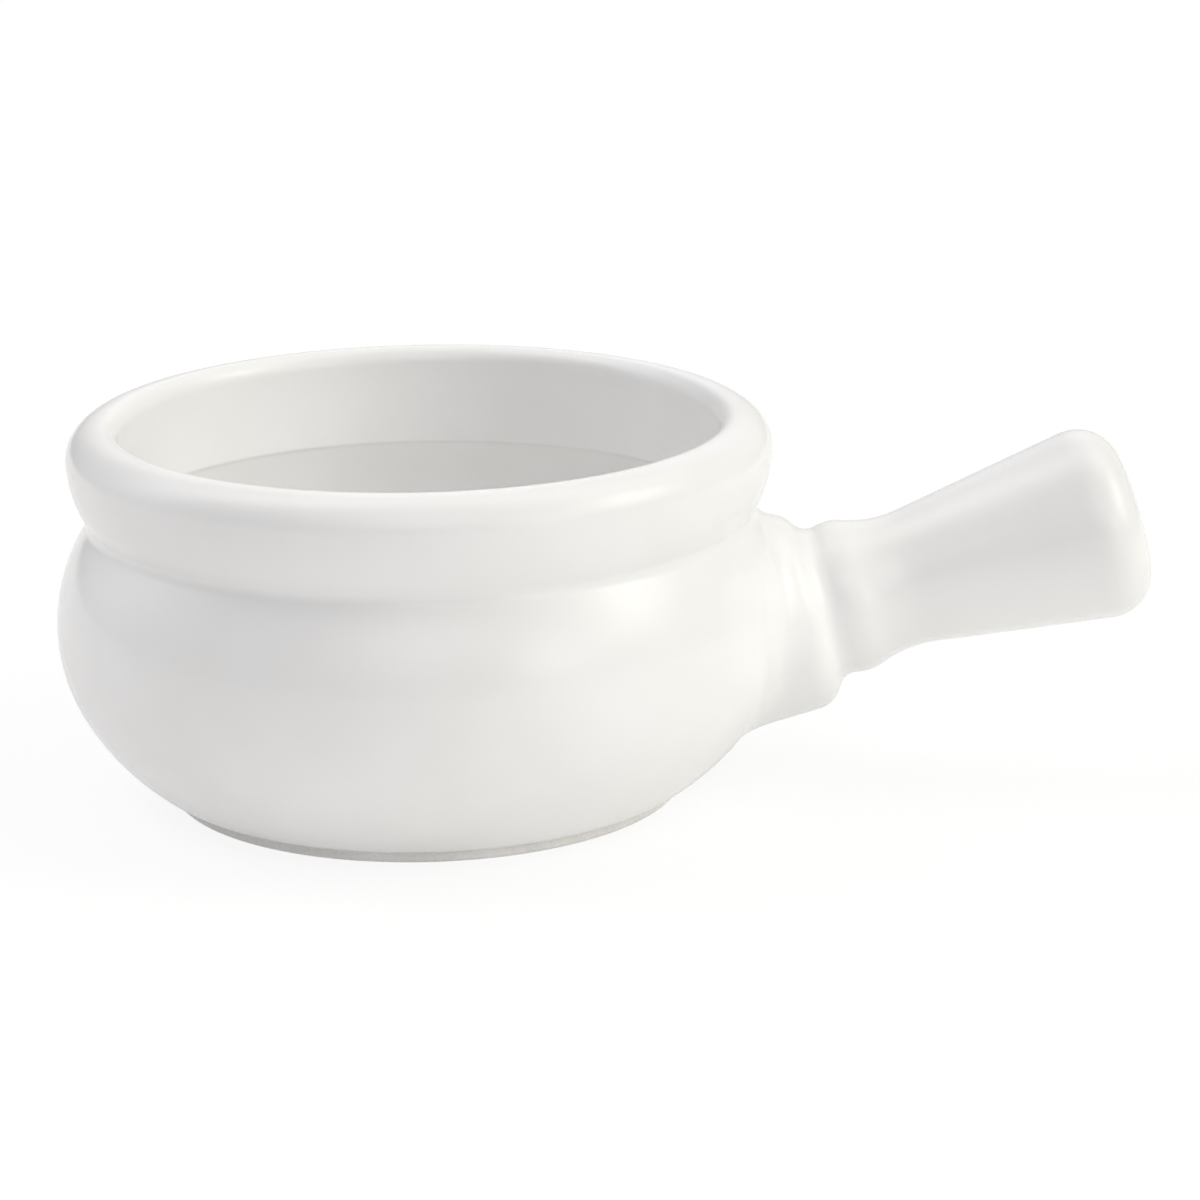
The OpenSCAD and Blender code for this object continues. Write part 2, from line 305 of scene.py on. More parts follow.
@dataclass(frozen=True)
class BowlForm:
    """The thrown bowl's outline over its glaze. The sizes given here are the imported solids'."""

    belly_d: float = 128.0
    bowl_h: float = 66.4
    wall: float = 5.0
    belly_share: float = 0.62
    bilge_share: float = 0.95
    bilge_turn: float = 28.5
    rim_h: float = 17.2
    crease_in: float = 6.5
    crease_round: float = 2.0
    rim_in: float = 2.8
    roll_fall: float = 5.8
    mouth_in: float = 11.25
    mouth_fall: float = 5.6
    crest_share: float = 0.27
    lip_out: float = 0.95
    lip_drop: float = 0.8
    lip_soft: float = 0.45
    # Depth of the hollow under the lip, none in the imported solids, and how far down it is deepest
    cove_depth: float = 0.0
    cove_run: float = 0.8
    floor_z: float = 7.3
    floor_round: float = 14.0
    foot_in: float = 18.5
    foot_step: float = 0.85
    foot_h: float = 1.8
    foot_w: float = 5.0
    recess_h: float = 2.0
    guide_step: float = 0.4

    @cached_property
    def belly_r(self) -> float:
        """Radius of the belly at its widest."""
        return self.belly_d / 2

    @cached_property
    def belly_z(self) -> float:
        """Height of the belly's widest place."""
        return (self.bowl_h - self.rim_h) * self.belly_share

    @cached_property
    def foot_r(self) -> float:
        """Radius of the bare foot ring."""
        return self.belly_r - self.foot_in

    @cached_property
    def curves(self) -> dict[str, tuple[Array, float]]:
        """Centre and radius of each round stretch, named for where it lies."""
        crease_z = self.bowl_h - self.rim_h
        rim_z = self.bowl_h - self.roll_fall
        shoulder_r = span_radius(self.crease_in, crease_z - self.belly_z)
        shoulder = np.array([self.belly_r - shoulder_r, self.belly_z])
        under_r = span_radius(self.crease_in - self.rim_in, rim_z - crease_z)
        under = np.array([self.belly_r - self.rim_in - under_r, rim_z])
        crease = meet(under, under_r + self.crease_round, shoulder, shoulder_r + self.crease_round)
        bilge_r = self.belly_z * self.bilge_share
        bilge = np.array([self.belly_r - bilge_r, self.belly_z])
        turn_end = bilge + bilge_r * ray(-self.bilge_turn)
        foot_edge = np.array([self.foot_r + self.foot_step, self.foot_h])
        base_r = touch_radius(turn_end, -ray(-self.bilge_turn), foot_edge)
        base = turn_end - base_r * ray(-self.bilge_turn)
        lip_r = self.belly_r - self.mouth_in + self.lip_out
        lip_z = crease_z - self.lip_drop
        throat_r = span_radius(self.belly_r - self.wall - lip_r, lip_z - self.belly_z)
        throat = np.array([self.belly_r - self.wall - throat_r, self.belly_z])
        floor_z = self.floor_z + self.floor_round
        inner = base_r - self.wall - self.floor_round
        floor = np.array([base[0] + math.sqrt(inner ** 2 - (base[1] - floor_z) ** 2), floor_z])
        return {
            "shoulder": (shoulder, shoulder_r),
            "under": (under, under_r),
            "crease": (crease, self.crease_round),
            "bilge": (bilge, bilge_r),
            "base": (base, base_r),
            "throat": (throat, throat_r),
            "floor": (floor, self.floor_round),
        }

    def with_roll(self, mouth_in: float, mouth_fall: float, cove_depth: float) -> "BowlForm":
        """Gives this outline a fuller inner roll.

        The lip's edge and all that lies outside the top of the rim stay where they are.

        Args:
            mouth_in: How far the mouth's narrowest place lies inside the belly's widest.
            mouth_fall: How far it lies under the top of the rim.
            cove_depth: Depth of the hollow under the lip.

        Returns:
            The new outline.
        """
        added = mouth_in - self.mouth_in
        width = self.mouth_in - self.rim_in
        return replace(
            self, mouth_in=mouth_in, mouth_fall=mouth_fall, cove_depth=cove_depth,
            lip_out=self.lip_out + added, crest_share=(width * self.crest_share + added) / (width + added),
        )

    def outside(self, wiped: float = 0.0) -> Array:
        """Lays the outline from the glaze line over the foot up to the top of the rim.

        Args:
            wiped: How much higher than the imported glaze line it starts.

        Returns:
            Points of [radius, height].
        """
        shoulder, shoulder_r = self.curves["shoulder"]
        under, under_r = self.curves["under"]
        crease, crease_r = self.curves["crease"]
        bilge, bilge_r = self.curves["bilge"]
        base, base_r = self.curves["base"]
        crest_r, rim_z, rim_r = self.crest
        foot_angle = math.degrees(math.asin((self.foot_h + wiped - base[1]) / base_r))
        return joined(
            arc(base, base_r, foot_angle, -self.bilge_turn),
            arc(bilge, bilge_r, -self.bilge_turn, 0),
            arc(shoulder, shoulder_r, 0, bearing(shoulder, crease)),
            arc(crease, crease_r, 180 + bearing(shoulder, crease), 180 + bearing(under, crease)),
            arc(under, under_r, bearing(under, crease), 0),
            oval(np.array([crest_r, rim_z]), rim_r - crest_r, self.bowl_h - rim_z, 0, 90),
        )

    @cached_property
    def crest(self) -> tuple[float, float, float]:
        """Radius of the rim's top, height of the roll's widest place and its radius."""
        mouth_r = self.belly_r - self.mouth_in
        rim_r = self.belly_r - self.rim_in
        return mouth_r + (rim_r - mouth_r) * self.crest_share, self.bowl_h - self.roll_fall, rim_r

    def inside(self) -> Array:
        """Lays the outline from the top of the rim down to the middle of the floor."""
        throat, throat_r = self.curves["throat"]
        bilge, bilge_r = self.curves["bilge"]
        base, base_r = self.curves["base"]
        floor, floor_r = self.curves["floor"]
        mouth_r = self.belly_r - self.mouth_in
        neck_z = self.bowl_h - self.mouth_fall
        crest_r = self.crest[0]
        lip_angle = math.degrees(math.acos((mouth_r + self.lip_out - throat[0]) / throat_r))
        lip = throat + throat_r * ray(lip_angle)
        under = spaced(arc(throat, throat_r, lip_angle, 0), FINEST_STEP)
        run = lengths_along(under) / self.cove_run
        under[:, 0] += self.cove_depth * run * np.exp(1 - run)
        line = joined(
            oval(np.array([crest_r, neck_z]), crest_r - mouth_r, self.bowl_h - neck_z, 90, 180),
            np.linspace([mouth_r, neck_z], lip, STRAIGHT_POINTS),
            under,
            arc(bilge, bilge_r - self.wall, 0, -self.bilge_turn),
            arc(base, base_r - self.wall, -self.bilge_turn, bearing(base, floor)),
            arc(floor, floor_r, bearing(base, floor), -90),
            np.linspace([floor[0], self.floor_z], [0.0, self.floor_z], STRAIGHT_POINTS),
        )
        return softened(line, lip, self.lip_soft)

    def stand_off(self, points: Array) -> tuple[Array, Array]:
        """Measures places against the outside of the bowl.

        Args:
            points: Places in millimetres, three numbers each.

        Returns:
            How far each lies outside the bowl, and the bowl's unit normal nearest to it.
        """
        line, normals = self._guide
        flat = np.stack([np.hypot(points[:, 0], points[:, 1]), points[:, 2]], axis=1)
        way = line[1:] - line[:-1]
        share = ((flat[:, None] - line[:-1]) * way).sum(2) / (way * way).sum(1)
        share = np.clip(share, 0, 1)
        off = flat[:, None] - (line[:-1] + share[..., None] * way)
        gaps = np.linalg.norm(off, axis=2)
        best = np.argmin(gaps, axis=1)
        picked = np.arange(len(points))
        mix = share[picked, best][:, None]
        normal = normals[best] * (1 - mix) + normals[best + 1] * mix
        side = np.sign((off[picked, best] * normal).sum(1))
        round_way = points[:, :2] / flat[:, :1]
        return side * gaps[picked, best], np.column_stack([round_way * normal[:, :1], normal[:, 1]])

    @cached_property
    def _guide(self) -> tuple[Array, Array]:
        """The outside outline in close even steps, with its normals."""
        line = spaced(self.outside(), self.guide_step)
        return line, line_normals(line)


BOWL = BowlForm()


@dataclass
class BowlGlaze:
    """The coat that is poured inside the bowl and dipped outside, down to the bare foot ring."""

    form: BowlForm = BOWL
    # The face that shows: the coat is thicker on the rim's inner roll and thinner under the lip
    shown_form: BowlForm = BOWL.with_roll(mouth_in=11.8, mouth_fall=2.8, cove_depth=0.2)
    coat: float = 0.4
    hidden_row_step: float = 2.5
    turns: int = 288
    edge_roll: float = 0.3
    edge_points: int = 6
    # The sponge that cleans the foot takes the coat this much higher, and its edge bites the clay
    wiped: float = 0.8
    edge_bite: float = 0.03

    def sections(self) -> tuple[Array, Array]:
        """Lays the coat's section as two lines.

        Returns:
            The shown face from the middle of the floor over the rim to the foot, and the face
            on the clay back to the middle of the floor.
        """
        packed = joined(self.form.outside(self.wiped), self.form.inside())
        # The ends are left out, where the edge's roll and the floor's middle point take over
        clay = (packed - self.coat * line_normals(packed))[2:-1]
        clay = np.concatenate([spaced(clay, self.hidden_row_step), [[0.0, self.form.floor_z - self.coat]]])
        line = joined(self.shown_form.outside(self.wiped), self.shown_form.inside())
        out = line_normals(line)[0]
        up = (line[1] - line[0]) / np.linalg.norm(line[1] - line[0])
        turn = ray(np.linspace(0, 90, self.edge_points))
        edge = line[0] + self.edge_roll * (up - out + turn[:, :1] * out - turn[:, 1:] * up)
        edge = np.concatenate([edge, [line[0] - (self.coat + self.edge_bite) * out]])
        shown = line[::-1]
        above = shown[:, 1] > edge[0, 1] + self.edge_roll / 2
        return joined(shown[above], edge), clay

    def build(self) -> bpy.types.Object:
        """Builds the coat as one closed shell.

        Returns:
            The new piece.
        """
        shown, clay = self.sections()
        around = ray(np.arange(self.turns) * 360 / self.turns)
        seen = self._turned(shown[1:], around)
        seen += self._turned(line_normals(shown)[1:], around) * RIPPLE.depth(seen)[:, None]
        points = np.concatenate([seen, self._turned(clay[:-1], around)])
        ends = np.array([[0, 0, shown[0, 1] - RIPPLE.slack], [0, 0, clay[-1, 1]]])
        points = np.concatenate([points, ends])
        rows = len(shown) + len(clay) - 2
        return new_piece("glaze_over_bowl", points, turned_faces(rows, self.turns))

    @staticmethod
    def _turned(line: Array, around: Array) -> Array:
        """Turns a section of [radius, height] about the bowl's axis, row by row."""
        flat = line[:, None, :1] * around[None]
        up = np.broadcast_to(line[:, None, 1:], (*flat.shape[:2], 1))
        return np.concatenate([flat, up], axis=2).reshape(-1, 3)


@dataclass
class BaseGlaze:
    """The coat in the recess under the bowl, inside the bare foot ring."""

    form: BowlForm = BOWL
    coat: float = 0.4
    clear: float = 0.05
    edge_rise: float = 0.3
    # A high power keeps the disc flat almost up to its edge
    edge_power: int = 12
    rings: int = 24
    turns: int = 128

    def build(self) -> bpy.types.Object:
        """Builds the coat as a closed disc whose edge draws back from the ring's wall."""
        radius = self.form.foot_r - self.form.foot_w - self.clear
        top = self.form.recess_h - self.clear
        low = self.form.recess_h - self.coat
        share = np.linspace(0, 1, self.rings + 1)[1:]
        under = np.stack([radius * share, low + self.edge_rise * share ** self.edge_power], axis=1)
        line = np.concatenate([under, [[radius, top], [radius / 2, top]]])
        around = ray(np.arange(self.turns) * 360 / self.turns)
        points = BowlGlaze._turned(line, around)
        points = np.concatenate([points, [[0, 0, low], [0, 0, top]]])
        rows = len(line)
        return new_piece("glaze_under_base", points, turned_faces(rows, self.turns))


# The handle


@dataclass(frozen=True)
class HandleForm:
    """The cast handle's outline over its glaze, as [distance along its axis, radius]."""

    bowl: BowlForm = BOWL
    rise: float = 15.6
    crease_gap: float = 0.4
    foot_gap: float = 1.4
    fillet_over: float = 2.0
    length: float = 63.6
    ring_round: float = 5.5
    ring_x: float = 0.6
    groove_round: float = 3.0
    collar_in: float = 4.1
    collar_x: float = 10.9
    waist_in: float = 5.9
    waist_x: float = 20.6
    collar_share: float = 0.28
    flare: float = 8.8
    end_round: float = 7.8
    vent_d: float = 3.0
    vent_x: float = 24.0
    flare_points: int = 40
    end_points: int = 14

    @cached_property
    def slope(self) -> float:
        """Tangent of the handle's rise."""
        return math.tan(math.radians(self.rise))

    @cached_property
    def room(self) -> tuple[float, float]:
        """Highest and lowest place that the joint takes on the belly, carried out to its widest."""
        shoulder, shoulder_r = self.bowl.curves["shoulder"]
        crease = self.bowl.curves["crease"][0]
        low = shoulder + shoulder_r * ray(bearing(shoulder, crease))
        foot = self.bowl.foot_r + self.bowl.foot_step
        top = low[1] - self.crease_gap + (self.bowl.belly_r - low[0]) * self.slope
        return top, self.bowl.foot_h + self.foot_gap + (self.bowl.belly_r - foot) * self.slope

    @cached_property
    def boss_r(self) -> float:
        """Radius of the boss."""
        top, bottom = self.room
        return (top - bottom) / 2 * math.cos(math.radians(self.rise)) - self.fillet_over

    @cached_property
    def axis_z(self) -> float:
        """Height at which the handle's axis crosses the bowl's."""
        return sum(self.room) / 2 - self.bowl.belly_r * self.slope

    @cached_property
    def belly_s(self) -> float:
        """Distance along the axis at which it leaves the belly's widest place."""
        return self.bowl.belly_r / math.cos(math.radians(self.rise))

    @cached_property
    def ring(self) -> Array:
        """Centre of the rounding that closes the boss."""
        return np.array([self.belly_s + self.ring_x, self.boss_r - self.ring_round])

    @cached_property
    def outer_line(self) -> Array:
        """Outline from the top of the ring to the middle of the handle's end."""
        collar_r = self.boss_r - self.collar_in
        waist_r = self.boss_r - self.waist_in
        bends = span_radius(collar_r - waist_r, self.waist_x - self.collar_x)
        collar_round = bends * self.collar_share
        waist_round = bends - collar_round
        collar = np.array([self.belly_s + self.collar_x, collar_r - collar_round])
        waist = np.array([self.belly_s + self.waist_x, waist_r + waist_round])
        groove = meet(
            self.ring, self.ring_round + self.groove_round, collar, collar_round + self.groove_round
        )
        flare_start = waist + waist_round * ray(self.flare - 90)
        end_s = self.belly_s + self.length - self.end_round
        end_r = (
            flare_start[1]
            + (end_s - flare_start[0]) * math.tan(math.radians(self.flare))
            - self.end_round / math.cos(math.radians(self.flare))
        )
        end = np.array([end_s, end_r])
        tip = end + self.end_round * ray(90 + self.flare)
        return joined(
            arc(self.ring, self.ring_round, 90, bearing(self.ring, groove)),
            arc(groove, self.groove_round, bearing(groove, self.ring), bearing(groove, collar)),
            arc(collar, collar_round, bearing(collar, groove), bearing(collar, waist)),
            arc(waist, waist_round, bearing(waist, collar), self.flare - 90),
            np.linspace(flare_start, tip, self.flare_points)[1:],
            arc(end, self.end_round, 90 + self.flare, 0),
            np.linspace([end_s + self.end_round, end_r], [end_s + self.end_round, 0], self.end_points)[1:],
        )

    def frame(self, turns: Array) -> tuple[Array, Array]:
        """Gives the handle's axis and, for each turn about it in degrees, the way straight out."""
        rise = math.radians(self.rise)
        axis = np.array([math.cos(rise), 0.0, math.sin(rise)])
        turned = np.radians(turns)
        out = np.stack(
            [-np.sin(turned) * math.sin(rise), np.cos(turned), np.sin(turned) * math.cos(rise)], axis=1
        )
        return axis, out

    def place(self, flat: Array, turns: Array) -> Array:
        """Puts [distance along, radius] and a turn in degrees in space.

        Args:
            flat: One pair for each turn.
            turns: Turns about the axis, with 90 for the top.

        Returns:
            Places in millimetres, three numbers each.
        """
        axis, out = self.frame(turns)
        return np.array([0.0, 0.0, self.axis_z]) + flat[:, :1] * axis + flat[:, 1:] * out

    def boss_path(self, run: Array) -> tuple[Array, Array]:
        """Follows the boss's outline by its run from the top of the ring's rounding.

        Args:
            run: Distances along the outline, below zero towards the bowl.

        Returns:
            Places and unit ways as [distance along the axis, radius].
        """
        turn = np.clip(run, 0, None) / self.ring_round
        place = self.ring + self.ring_round * np.stack([np.sin(turn), np.cos(turn)], axis=1)
        place[:, 0] += np.clip(run, None, 0)
        return place, np.stack([np.cos(turn), -np.sin(turn)], axis=1)


HANDLE = HandleForm()


@dataclass
class HandleGlaze:
    """The coat over the handle, which runs over the slip's fillet and melts into the bowl's coat."""

    form: HandleForm = HANDLE
    coat: float = 0.4
    turns: int = 224
    row_step: float = 0.8
    boss_rows: int = 20
    melt_rows: int = 20
    # How far the melt runs along the boss, and over the belly at the top, sides and bottom
    out_top: float = 3.0
    out_side: float = 5.0
    out_bottom: float = 4.2
    over_top: float = 2.2
    over_side: float = 7.0
    over_bottom: float = 2.3
    # Power of the melt's bend: 2 is a plain bend, and 3 starts and ends without a visible line
    bend_end: float = 2.0
    bend_side: float = 2.7
    # Runs past the melt and how deep the coat has sunk into the bowl's coat there
    sink_runs: tuple[float, ...] = (0.35, 0.7, 1.05)
    sink_depths: tuple[float, ...] = (0.004, 0.014, 0.04)
    # Share of those runs that is left at the bottom, where the bowl's coat ends close by
    sink_bottom: float = 0.3
    # Run along the ring's rounding by which the melt has ended, and where the even rows start
    melt_stop: float = 2.7
    melt_stop_soft: float = 0.8
    ring_station: float = 3.4
    vent_flare: float = 0.5
    vent_bends: tuple[float, ...] = (0, 15, 30, 45, 60, 75)
    vent_turns: int = 48
    search_steps: int = 40

    @staticmethod
    def round_joint(turns: Array, top: float, side: float, bottom: float) -> Array:
        """Blends a size round the joint.

        Args:
            turns: Turns about the handle's axis in degrees.
            top: The size at the top.
            side: The size at both sides.
            bottom: The size at the bottom.

        Returns:
            One size for each turn.
        """
        up = np.sin(np.radians(turns))
        return side + (np.where(up > 0, top, bottom) - side) * up ** 2

    def search(self, path: Callable[[Array], Array], gap: float | Array, near: float, far: float) -> Array:
        """Finds where paths that leave the belly stand a gap off it.

        Args:
            path: Gives a place on each path for its run.
            gap: The gap to find.
            near: Run of each path inside the bowl.
            far: Run of each path outside it.

        Returns:
            One run for each path.
        """
        low = np.full(self.turns, float(near))
        high = np.full(self.turns, float(far))
        for _ in range(self.search_steps):
            middle = (low + high) / 2
            inside = self.form.bowl.stand_off(path(middle))[0] < gap
            low = np.where(inside, middle, low)
            high = np.where(inside, high, middle)
        return (low + high) / 2

    def rows(self) -> Array:
        """Lays the coat's outer face as rows that each run once round the handle.

        Returns:
            An array of rows by turns by three, from the sunk edge on the bowl to the end.
        """
        form = self.form
        turns = np.arange(self.turns) * 360 / self.turns
        axis, out = form.frame(turns)
        reach = form.bowl.belly_r / 2

        start_run = self.search(
            lambda run: form.place(form.boss_path(run)[0], turns),
            self.round_joint(turns, self.out_top, self.out_side, self.out_bottom),
            -reach, 2 * self.ring_station,
        )
        past = start_run - self.melt_stop
        start_run = self.melt_stop + (past - np.hypot(past, self.melt_stop_soft)) / 2
        start, way = form.boss_path(start_run)
        over = form.boss_r + self.round_joint(turns, self.over_top, self.over_side, self.over_bottom)

        def on_belly(radius: Array, gap: float) -> Array:
            """Finds the places at a radius from the handle's axis that stand a gap off the belly."""
            along = self.search(
                lambda s: form.place(np.stack([s, radius], axis=1), turns), gap,
                form.belly_s - reach, form.belly_s + reach / 2,
            )
            return np.stack([along, radius], axis=1)

        finish = on_belly(over, 0.0)
        normal = form.bowl.stand_off(form.place(finish, turns))[1]
        tilt = np.stack([normal @ axis, (normal * out).sum(1)], axis=1)
        corner = start + way * (((finish - start) * tilt).sum(1) / (way * tilt).sum(1))[:, None]

        left = self.round_joint(turns, 1.0, 1.0, self.sink_bottom)
        sinks = zip(self.sink_runs[::-1], self.sink_depths[::-1])
        flat = [on_belly(over + run * left, -depth) for run, depth in sinks]
        power = self.round_joint(turns, self.bend_end, self.bend_side, self.bend_end)[:, None]
        for share in np.linspace(1, 0, self.melt_rows):
            near, far = (1 - share) ** power, share ** power
            flat.append(near * start + (1 - near - far) * corner + far * finish)
        for share in np.linspace(0, 1, self.boss_rows)[1:]:
            flat.append(form.boss_path(start_run + share * (self.ring_station - start_run))[0])
        placed = [form.place(row, turns) for row in flat]
        line = form.outer_line
        rest = line[lengths_along(line) > self.ring_station]
        rest = np.concatenate([form.boss_path(np.array([self.ring_station]))[0], rest])
        for point in spaced(rest, self.row_step)[1:-1]:
            placed.append(form.place(np.broadcast_to(point, (self.turns, 2)), turns))
        return np.stack(placed)

    def build(self) -> bpy.types.Object:
        """Builds the coat as one closed shell with the vent hole through it.

        Returns:
            The new piece.
        """
        outer = self.rows()
        rows = len(outer)
        step = np.diff(outer, axis=0)
        size = np.linalg.norm(step, axis=2, keepdims=True)
        way = step / size
        between = (way[:-1] * size[1:] + way[1:] * size[:-1]) / (size[:-1] + size[1:])
        along = np.concatenate([way[:1], between, way[-1:]])
        around = np.roll(outer, -1, axis=1) - np.roll(outer, 1, axis=1)
        normals = np.cross(around, along)
        normals /= np.linalg.norm(normals, axis=2, keepdims=True)
        if (normals[rows // 2, 0] @ (outer[rows // 2, 0] - outer[rows // 2].mean(0))) < 0:
            normals = -normals
        depth = RIPPLE.depth(outer.reshape(-1, 3)).reshape(rows, self.turns, 1)
        shown = outer - normals * depth
        hidden = outer - normals * self.coat
        tip = self.form.place(np.array([[self.form.belly_s + self.form.length, 0.0]]), np.array([90.0]))[0]
        axis = self.form.frame(np.array([90.0]))[0]
        poles = np.array([tip - axis * RIPPLE.slack, tip - axis * self.coat])
        points = np.concatenate([shown.reshape(-1, 3), hidden[::-1].reshape(-1, 3), poles])
        turns = self.turns
        count = rows * turns
        faces = grid_faces(rows, turns)
        faces += [tuple(i + count for i in face) for face in grid_faces(rows, turns)]
        faces += pole_faces(2 * count, (rows - 1) * turns, turns, False)
        faces += pole_faces(2 * count + 1, count, turns, True)
        last = 2 * count - turns
        faces += [(last + j, last + (j + 1) % turns, (j + 1) % turns, j) for j in range(turns)]
        piece = new_piece("glaze_over_handle", points, faces)
        cut_away(piece, self.vent_tool())
        return piece

    def vent_tool(self) -> bpy.types.Object:
        """Builds the body that cuts the vent hole, flared where the glaze rounds its edge."""
        form = self.form
        line = form.outer_line
        along = form.belly_s + form.vent_x
        first = int(np.argmax(line[:, 0] > along))
        skin = float(np.interp(along, line[first - 1:first + 1, 0], line[first - 1:first + 1, 1]))
        low = skin - self.vent_flare
        bend = low + self.vent_flare * np.sin(np.radians(self.vent_bends))
        radius = form.vent_d / 2 + self.vent_flare * (1 - np.cos(np.radians(self.vent_bends)))
        section = joined(
            np.array([[low - 2 * self.coat, form.vent_d / 2]]),
            np.stack([bend, radius], axis=1),
            np.array([[skin + self.coat, radius[-1]]]),
        )
        axis, out = form.frame(np.array([-90.0]))
        side = np.cross(axis, out[0])
        centre = np.array([0.0, 0.0, form.axis_z]) + axis * along
        ring = ray(np.arange(self.vent_turns) * 360 / self.vent_turns)
        points = [
            centre + out[0] * deep + radius * (r[0] * axis + r[1] * side)
            for deep, radius in section for r in ring
        ]
        points += [centre + out[0] * section[end, 0] for end in (0, -1)]
        return new_piece("vent_tool", np.array(points), turned_faces(len(section), self.vent_turns))


# Finishes


def linear(hex_colour: str) -> tuple[float, float, float, float]:
    """Turns an sRGB hex colour to the linear colour that Blender takes."""
    parts = [int(hex_colour[k:k + 2], 16) / 255 for k in (1, 3, 5)]
    r, g, b = (c / 12.92 if c <= 0.04045 else ((c + 0.055) / 1.055) ** 2.4 for c in parts)
    return r, g, b, 1.0


def per_metre(size_mm: float) -> float:
    """Turns a pattern's size in millimetres to a texture scale in object space."""
    return 1.0 / (size_mm * MM)


def add_node(
    tree: bpy.types.NodeTree,
    kind: str,
    inputs: dict[str | int, Any] | None = None,
    **settings: Any,
) -> bpy.types.Node:
    """Adds one node with its settings, values and links.

    Args:
        tree: The tree that the node goes into.
        kind: Blender's name for the kind of node.
        inputs: A value, or another node's output to link, for each input by name or number.
        settings: The node's own properties.

    Returns:
        The new node.
    """
    made = tree.nodes.new(kind)
    for name, value in settings.items():
        setattr(made, name, value)
    for name, value in (inputs or {}).items():
        if isinstance(value, bpy.types.NodeSocket):
            tree.links.new(value, made.inputs[name])
        else:
            made.inputs[name].default_value = value
    return made


def new_material(name: str) -> bpy.types.Material:
    """Makes an empty node material."""
    material = bpy.data.materials.new(name)
    material.use_nodes = True
    material.node_tree.nodes.clear()
    return material


@dataclass(frozen=True)
class WhiteGlaze:
    """Opaque white glaze on vitrified stoneware, dipped, then fired to a full gloss.

    Fired glaze is glass full of fine white grains. To the eye it is an even, faintly warm
    white under a clear shine, with very soft clouds where the coat is thicker or thinner,
    and a skin that is a touch uneven where it has flowed.
    """

    name: str = "white_glaze_on_stoneware"
    colour: str = "#F9F9F8"
    thin_colour: str = "#F5F5F3"
    ior: float = 1.5
    roughness_low: float = 0.10
    roughness_high: float = 0.15
    cloud_mm: float = 26.0
    sheen_mm: float = 9.0
    # The skin of a glaze waves every 3 mm or so, by less than a hundredth of a millimetre
    skin_mm: float = 3.2
    skin_depth_mm: float = 0.006

    def material(self) -> bpy.types.Material:
        """Makes the node material."""
        made = new_material(self.name)
        tree = made.node_tree
        where = add_node(tree, "ShaderNodeTexCoord").outputs["Object"]
        cloud = add_node(
            tree, "ShaderNodeTexNoise",
            {"Vector": where, "Scale": per_metre(self.cloud_mm), "Detail": 2.0, "Roughness": 0.5},
        ).outputs["Fac"]
        spread = add_node(
            tree, "ShaderNodeMapRange", {"Value": cloud, "From Min": 0.35, "From Max": 0.7}
        ).outputs["Result"]
        colour = add_node(
            tree, "ShaderNodeMix",
            {"Factor": spread, 6: linear(self.colour), 7: linear(self.thin_colour)},
            data_type="RGBA",
        ).outputs[2]
        sheen = add_node(
            tree, "ShaderNodeTexNoise",
            {"Vector": where, "Scale": per_metre(self.sheen_mm), "Detail": 3.0},
        ).outputs["Fac"]
        rough = add_node(
            tree, "ShaderNodeMapRange",
            {"Value": sheen, "From Min": 0.3, "From Max": 0.7,
             "To Min": self.roughness_low, "To Max": self.roughness_high},
        ).outputs["Result"]
        skin = add_node(
            tree, "ShaderNodeTexNoise",
            {"Vector": where, "Scale": per_metre(self.skin_mm), "Detail": 1.0},
        ).outputs["Fac"]
        bump = add_node(
            tree, "ShaderNodeBump", {"Height": skin, "Distance": self.skin_depth_mm * MM, "Strength": 1.0}
        ).outputs["Normal"]
        shader = add_node(
            tree, "ShaderNodeBsdfPrincipled",
            {"Base Color": colour, "Roughness": rough, "Normal": bump, "IOR": self.ior},
        )
        add_node(tree, "ShaderNodeOutputMaterial", {"Surface": shader.outputs["BSDF"]})
        return made


